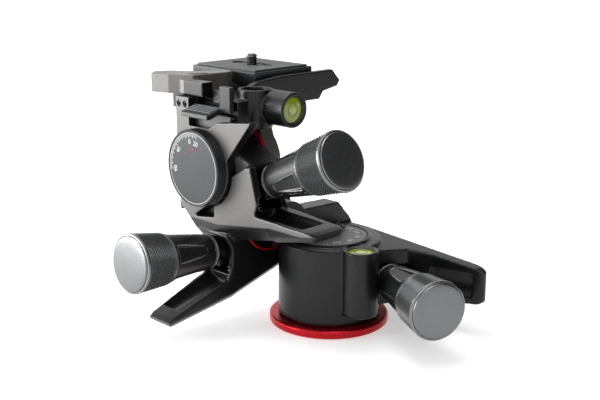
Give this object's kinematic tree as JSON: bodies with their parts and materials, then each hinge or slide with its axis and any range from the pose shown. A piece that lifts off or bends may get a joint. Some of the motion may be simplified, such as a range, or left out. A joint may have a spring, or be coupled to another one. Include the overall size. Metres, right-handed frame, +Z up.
{
  "type": "geared tripod head",
  "caption": "Three-way geared tripod head with conical worm-drive knobs, squeeze-release wings, a scaled pan base, spirit levels and a quick-release camera plate.",
  "frame": {"origin": "centre of the base underside, on the pan axis", "axes": "+Z up along the pan axis; the lens looks along +Y; the lateral knob and the quick-release lever are on the -X side"},
  "size_m": [0.1486, 0.1799, 0.1365],
  "materials": {
    "black_casting": "satin black paint",
    "grey_metal": "satin grey paint",
    "red_anodised": "red anodised",
    "steel": "turned",
    "bronze": "machined bronze",
    "knob_plastic": "moulded, knurled",
    "cap_plastic": "moulded",
    "dial": "dark anodised",
    "vial": "tinted liquid under clear resin",
    "rubber": "ribbed"
  },
  "bodies": {
    "base": {"base_ring": "red_anodised", "base_hub": "steel", "thread_bush": "bronze", "pan_wheel": "bronze", "pan_retainer": "steel", "base_screws": "steel"},
    "pan_body": {"pan_housing": "black_casting", "pan_cover": "black_casting", "pan_bush": "bronze", "pan_scale": "dial", "pan_vial": "vial", "pan_pin": "steel", "pan_spring": "steel", "lateral_shaft": "steel", "lateral_wheel": "bronze", "lateral_collar": "steel"},
    "pan_carrier_body": {"pan_carrier": "grey_metal"},
    "pan_knob_body": {"pan_shaft": "steel", "pan_worm": "steel", "pan_knob": "knob_plastic", "pan_knob_cap": "cap_plastic"},
    "centre_body": {"centre_casting": "black_casting", "lateral_cover": "grey_metal", "front_cover": "grey_metal", "lateral_ring": "red_anodised", "front_ring": "red_anodised", "front_axle": "steel", "front_dial": "dial", "lateral_pin": "steel", "front_pin": "steel", "lateral_spring": "steel", "front_spring": "steel"},
    "lateral_carrier_body": {"lateral_carrier": "grey_metal"},
    "lateral_knob_body": {"lateral_worm_shaft": "steel", "lateral_worm": "steel", "lateral_knob": "knob_plastic", "lateral_knob_cap": "cap_plastic"},
    "front_carrier_body": {"front_carrier": "grey_metal"},
    "front_knob_body": {"front_worm_shaft": "steel", "front_worm": "steel", "front_knob": "knob_plastic", "front_knob_cap": "cap_plastic"},
    "clamp_body": {"clamp_platform": "black_casting", "left_stem": "grey_metal", "right_leg": "grey_metal", "front_wheel": "bronze", "fixed_jaw": "black_casting", "clamp_screws": "steel", "tube_vial": "vial", "side_vial": "vial", "catch_pin": "steel"},
    "lever_body": {"qr_lever": "grey_metal"},
    "catch_body": {"safety_catch": "black_casting"},
    "plate_body": {"plate": "grey_metal", "plate_pad": "rubber"},
    "screw_body": {"camera_screw": "steel"}
  },
  "joints": [
    {"name": "pan", "type": "hinge", "parent": "base", "child": "pan_body", "pos_m": [0, 0, 0.0264], "axis": [0, 0, 1], "continuous": true},
    {"name": "lateral_tilt", "type": "hinge", "parent": "pan_body", "child": "centre_body", "pos_m": [-0.016, 0.039, 0.0545], "axis": [0, 1, 0], "range_deg": [-30, 90]},
    {"name": "front_tilt", "type": "hinge", "parent": "centre_body", "child": "clamp_body", "pos_m": [-0.033, 0.0443, 0.0845], "axis": [-1, 0, 0], "range_deg": [-20, 90]},
    {"name": "pan_release", "type": "hinge", "parent": "pan_body", "child": "pan_carrier_body", "pos_m": [0.02969, 0.00949, 0.0264], "axis": [0, 0, 1], "range_deg": [0, 4.5], "stiffness_Nm_per_rad": 4, "springref_deg": -6, "deforming": ["pan_spring"]},
    {"name": "lateral_release", "type": "hinge", "parent": "centre_body", "child": "lateral_carrier_body", "pos_m": [0.00246, 0.039, 0.0357], "axis": [0, -1, 0], "range_deg": [0, 4.5], "stiffness_Nm_per_rad": 4, "springref_deg": -6, "deforming": ["lateral_spring"]},
    {"name": "front_release", "type": "hinge", "parent": "centre_body", "child": "front_carrier_body", "pos_m": [-0.033, 0.05683, 0.06132], "axis": [1, 0, 0], "range_deg": [0, 4.5], "stiffness_Nm_per_rad": 4, "springref_deg": -6, "deforming": ["front_spring"]},
    {"name": "pan_knob_spin", "type": "hinge", "parent": "pan_carrier_body", "child": "pan_knob_body", "pos_m": [0.02213, -0.00903, 0.0264], "axis": [-0.3778, -0.9259, 0], "continuous": true},
    {"name": "lateral_knob_spin", "type": "hinge", "parent": "lateral_carrier_body", "child": "lateral_knob_body", "pos_m": [-0.01746, 0.039, 0.03741], "axis": [-0.9963, 0, 0.0854], "range_deg": [-3600, 3600]},
    {"name": "front_knob_spin", "type": "hinge", "parent": "front_carrier_body", "child": "front_knob_body", "pos_m": [-0.033, 0.03815, 0.06849], "axis": [0, -0.9336, 0.3584], "range_deg": [-3600, 3600]},
    {"name": "qr_lever_turn", "type": "hinge", "parent": "clamp_body", "child": "lever_body", "pos_m": [-0.04, 0.065, 0.1195], "axis": [0, 0, 1], "range_deg": [0, 55]},
    {"name": "safety_catch_press", "type": "hinge", "parent": "clamp_body", "child": "catch_body", "pos_m": [-0.038, 0.048, 0.115], "axis": [0, -1, 0], "range_deg": [0, 8], "stiffness_Nm_per_rad": 0.3, "springref_deg": -6},
    {"name": "plate_lift", "type": "slide", "parent": "clamp_body", "child": "plate_body", "axis": [0, 0, 1], "range_m": [0, 0.03]},
    {"name": "camera_screw_turn", "type": "hinge", "parent": "plate_body", "child": "screw_body", "pos_m": [0.007, 0.0675, 0.13], "axis": [0, 0, 1], "continuous": true}
  ],
  "couplings": [
    {"joint": "pan_knob_spin", "follows": "pan", "ratio": 52},
    {"joint": "lateral_knob_spin", "follows": "lateral_tilt", "ratio": -34},
    {"joint": "front_knob_spin", "follows": "front_tilt", "ratio": 34}
  ]
}
